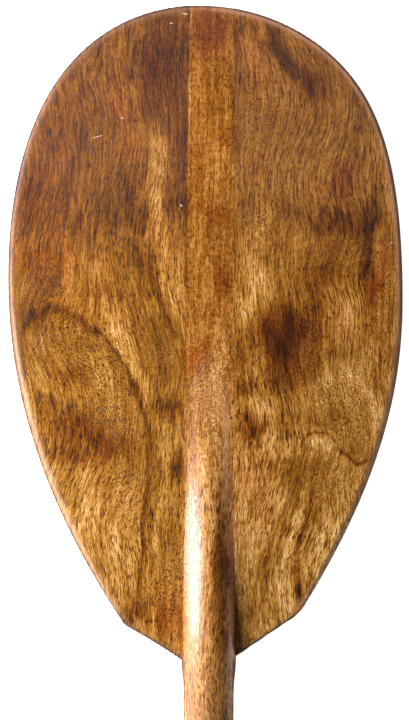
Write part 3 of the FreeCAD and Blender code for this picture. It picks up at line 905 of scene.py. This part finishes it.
# Colours of the painted pinkish reflection, the painted highlight and the painted dark edge shade.
PAINTED_REFLECTION_TINT = (176, 130, 124)
PAINTED_HIGHLIGHT_TINT = (205, 152, 122)
PAINTED_EDGE_SHADE = (44, 20, 16)
MARK_TINT = (232, 190, 160)
MEAN_PATTERN = 0.80


def varnished(name, gloss, light, fine=0.45, long=10.0, red=0.0, fleck=0.16, dent=0.05):
    """Varnished hardwood: thin dark pores drawn out along the grain, or dots where the figure says so, over
    the figure's clouds; a tone ramp from dark brown to gold; red and olive parts tinted on top, then a
    painted pinkish reflection, painted highlights, and painted dark shade at the rim and the shaft's sides
    blended over it.
    Gloss is the lowest roughness, fine the grain's contrast, long its length and dent its depth in
    millimetres."""
    n = Nodes(name)
    place = n.attribute("grain", "Vector")
    strokes = n.spread(n.noise(place, (0.78, long, long), 2.0, 0.6, 0.1), 0.35, 0.50)
    pores = n.spread(n.noise(place, (0.6, 3.6, 3.6), 2.0, 0.6, 0.1), 0.35, 0.50)
    specks = n.spread(n.noise(place, (0.62, 1.4, 1.4), 2.0, 0.6, 0.3), 0.36, 0.52)
    dots = n.math("MULTIPLY", n.attribute("dots"), 0.75)
    lines = n.math("MULTIPLY_ADD", strokes, 0.5, n.math("MULTIPLY", pores, 0.5))
    pattern = n.math("ADD", n.math("MULTIPLY", specks, dots),
                     n.math("MULTIPLY", lines, n.math("SUBTRACT", 1.0, dots)))
    bands = n.spread(n.noise(place, (2.4, 34, 34), 3.0, 0.6, 0.2), 0.36, 0.64)
    flecks = n.noise(place, (4.0, 1.6, 4.0), 2.0, 0.6, 0.6)
    bite = n.math("MULTIPLY", n.attribute("bite"), fine)
    tone = n.math("ADD", n.attribute("light"), light)
    tone = n.math("MULTIPLY_ADD", n.math("SUBTRACT", pattern, MEAN_PATTERN), bite, tone)
    tone = n.math("MULTIPLY_ADD", n.math("SUBTRACT", bands, 0.5), 0.15, tone)
    tone = n.math("MULTIPLY_ADD", n.math("SUBTRACT", flecks, 0.5), fleck, tone)
    colour = n.ramp(tone, WOOD_TONES)
    redness = n.math("ADD", n.attribute("red"), red)
    redder = n.math("MULTIPLY", redness, 0.5, clamp=True)
    colour = n.blend(redder, colour, RED_TINT, "MULTIPLY")
    olive = n.math("MULTIPLY", redness, -0.5, clamp=True)
    colour = n.blend(olive, colour, OLIVE_TINT, "MULTIPLY")
    # painted pinkish reflection, painted highlights and painted dark edge shade, blended over the wood's
    # colour
    for key, strength, tint in (("painted_reflection", 0.08, PAINTED_REFLECTION_TINT), ("painted_highlight", 0.6, PAINTED_HIGHLIGHT_TINT),
                                ("painted_edge_shade", 0.9, PAINTED_EDGE_SHADE)):
        colour = n.blend(n.math("MULTIPLY", n.attribute(key), strength), colour, tint)
    spot = n.add("ShaderNodeTexCoord").outputs["Object"]
    for mark in MARKS:
        colour = n.blend(n.math("MULTIPLY", pale_mark(n, spot, *mark), 0.7), colour, MARK_TINT)
    n.join(colour, n.shader.inputs["Base Color"])
    rough = n.spread(pattern, 0.1, 0.9, gloss + 0.12, gloss)
    # the same edge mask as the painted dark shade also roughens the varnish
    rough = n.math("MULTIPLY_ADD", n.attribute("painted_edge_shade"), 0.55, rough)
    rough = n.math("MULTIPLY_ADD", n.attribute("satin"), 0.36, rough)
    n.join(rough, n.shader.inputs["Roughness"])
    n.shader.inputs["IOR"].default_value = 1.5
    n.bump(pattern, dent, 0.8)
    return n.material


def plain_wood(name, tones, cell=(0.7, 0.7, 6.0), gloss=0.35):
    """Wood of a CAD part, read in the part's own place: streaks along its length over slow bands."""
    n = Nodes(name)
    place = n.add("ShaderNodeTexCoord").outputs["Object"]
    streaks = n.noise(place, cell, 3.0, 0.6, 0.2)
    bands = n.noise(place, tuple(4 * side for side in cell), 2.0, 0.5, 0.4)
    tone = n.math("MULTIPLY_ADD", n.math("SUBTRACT", streaks, 0.5), 1.1, 0.5)
    tone = n.math("MULTIPLY_ADD", n.math("SUBTRACT", bands, 0.5), 0.6, tone)
    n.join(n.ramp(tone, tones), n.shader.inputs["Base Color"])
    n.join(n.spread(streaks, 0.3, 0.7, gloss + 0.1, gloss), n.shader.inputs["Roughness"])
    n.shader.inputs["Coat Weight"].default_value = 0.35
    n.shader.inputs["Coat Roughness"].default_value = 0.22
    n.bump(streaks, 0.05, 0.6)
    return n.material


def dress(piece, material):
    """Gives a piece one material in place of any it had."""
    piece.data.materials.clear()
    piece.data.materials.append(material)


# ---------------------------------------------------------------- the object
pieces = {
    "left_wing": (wing("left_wing", -1), "left_blade_wing", "wing_wood"),
    "right_wing": (wing("right_wing", 1), "right_blade_wing", "wing_wood_right"),
    "stave_front": (stave_front(), "stave_front_lamination", "ridge_wood"),
    "stave_back": (stave_back(), "stave_back_lamination", "stave_wood"),
}
for piece, node, slot in pieces.values():
    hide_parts(node)
dress(pieces["left_wing"][0], varnished("left_wing_wood", gloss=0.22, light=0.0))
dress(pieces["right_wing"][0], varnished("right_wing_wood", gloss=0.22, light=0.065))
dress(pieces["stave_front"][0],
      varnished("ridge_wood", gloss=0.19, light=0.07, long=6.0, red=0.45, dent=0.09))
dress(pieces["stave_back"][0],
      varnished("strip_wood", gloss=0.17, light=0.13, fine=0.34, long=3.0, red=0.42, fleck=0.34))

GRIP_TONES = [(0.0, (70, 34, 12)), (0.5, (150, 90, 32)), (1.0, (214, 154, 84))]
PALE_TONES = [(0.0, (150, 104, 56)), (0.5, (200, 158, 100)), (1.0, (232, 204, 154))]
dress(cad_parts["cross_grip"], plain_wood("grip_wood", GRIP_TONES, cell=(6.0, 0.8, 0.8)))
pale = plain_wood("pale_wood", PALE_TONES)
for node in ("grip_pin", "tenon_wedge_left", "tenon_wedge_right",
             "blade_dowel_1", "blade_dowel_2", "blade_dowel_3", "blade_dowel_4"):
    dress(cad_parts[node], pale)

# ---------------------------------------------------------------- floor, lights and camera
AIM = np.array([-3.6, -17.8, 9.0])
CAMERA_DISTANCE = 1600.0
VIEW_HEIGHT = 460.8
CAMERA_TURN = 0.27
SENSOR = 36.0
FLOOR_HALF = 30.0
FLOOR_DROP = 0.0005


def floor():
    """A flat square under the object, just below its back, in metres."""
    corners = [(-1, -1), (1, -1), (1, 1), (-1, 1)]
    mesh = bpy.data.meshes.new("floor")
    mesh.from_pydata([(x * FLOOR_HALF, y * FLOOR_HALF, -FLOOR_DROP) for x, y in corners],
                     [], [(0, 1, 2, 3)])
    piece = bpy.data.objects.new("floor", mesh)
    bpy.context.scene.collection.objects.link(piece)
    n = Nodes("floor_paint")
    n.shader.inputs["Base Color"].default_value = (0.95, 0.95, 0.95, 1)
    n.shader.inputs["Roughness"].default_value = 0.9
    n.shader.inputs["Specular IOR Level"].default_value = 0.1
    n.shader.inputs["Emission Color"].default_value = (1, 1, 1, 1)
    n.shader.inputs["Emission Strength"].default_value = 1.0
    dress(piece, n.material)
    piece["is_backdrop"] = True


def soft_box(name, place, aim, size, power):
    """A rectangular soft light at a place, turned to face another, in metres and watts."""
    light = bpy.data.lights.new(name, "AREA")
    light.shape = "RECTANGLE"
    light.size, light.size_y = size
    light.energy = power
    lamp = bpy.data.objects.new(name, light)
    bpy.context.scene.collection.objects.link(lamp)
    lamp.location = place
    lamp.rotation_euler = (Vector(aim) - Vector(place)).to_track_quat("-Z", "Y").to_euler()


floor()
soft_box("key", (-1.12, 0.12, 0.52), (0, -0.02, 0.02), (0.54, 1.15), 46)
soft_box("low_left", (-0.95, -0.55, 0.66), (0, -0.15, 0.02), (0.5, 0.4), 5)

world = bpy.data.worlds.new("studio")
world.use_nodes = True
world.node_tree.nodes["Background"].inputs["Color"].default_value = (1, 1, 1, 1)
world.node_tree.nodes["Background"].inputs["Strength"].default_value = 0.08
bpy.context.scene.world = world
bpy.context.scene.view_settings.view_transform = "Standard"

camera = bpy.data.cameras.new("camera")
camera.type = "PERSP"
camera.sensor_width = SENSOR
camera.lens = SENSOR / 2 / (VIEW_HEIGHT / 2 / CAMERA_DISTANCE)
camera.clip_start, camera.clip_end = 0.05, 20
eye = bpy.data.objects.new("camera", camera)
bpy.context.scene.collection.objects.link(eye)
eye.location = (AIM + (0, 0, CAMERA_DISTANCE)) * MM
eye.rotation_euler = (0, 0, math.radians(CAMERA_TURN))
bpy.context.scene.camera = eye

boxes = {"cad": CAD_BOX, "visual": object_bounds()}
{name: [list(corner) for corner in pair] for name, pair in boxes.items()}
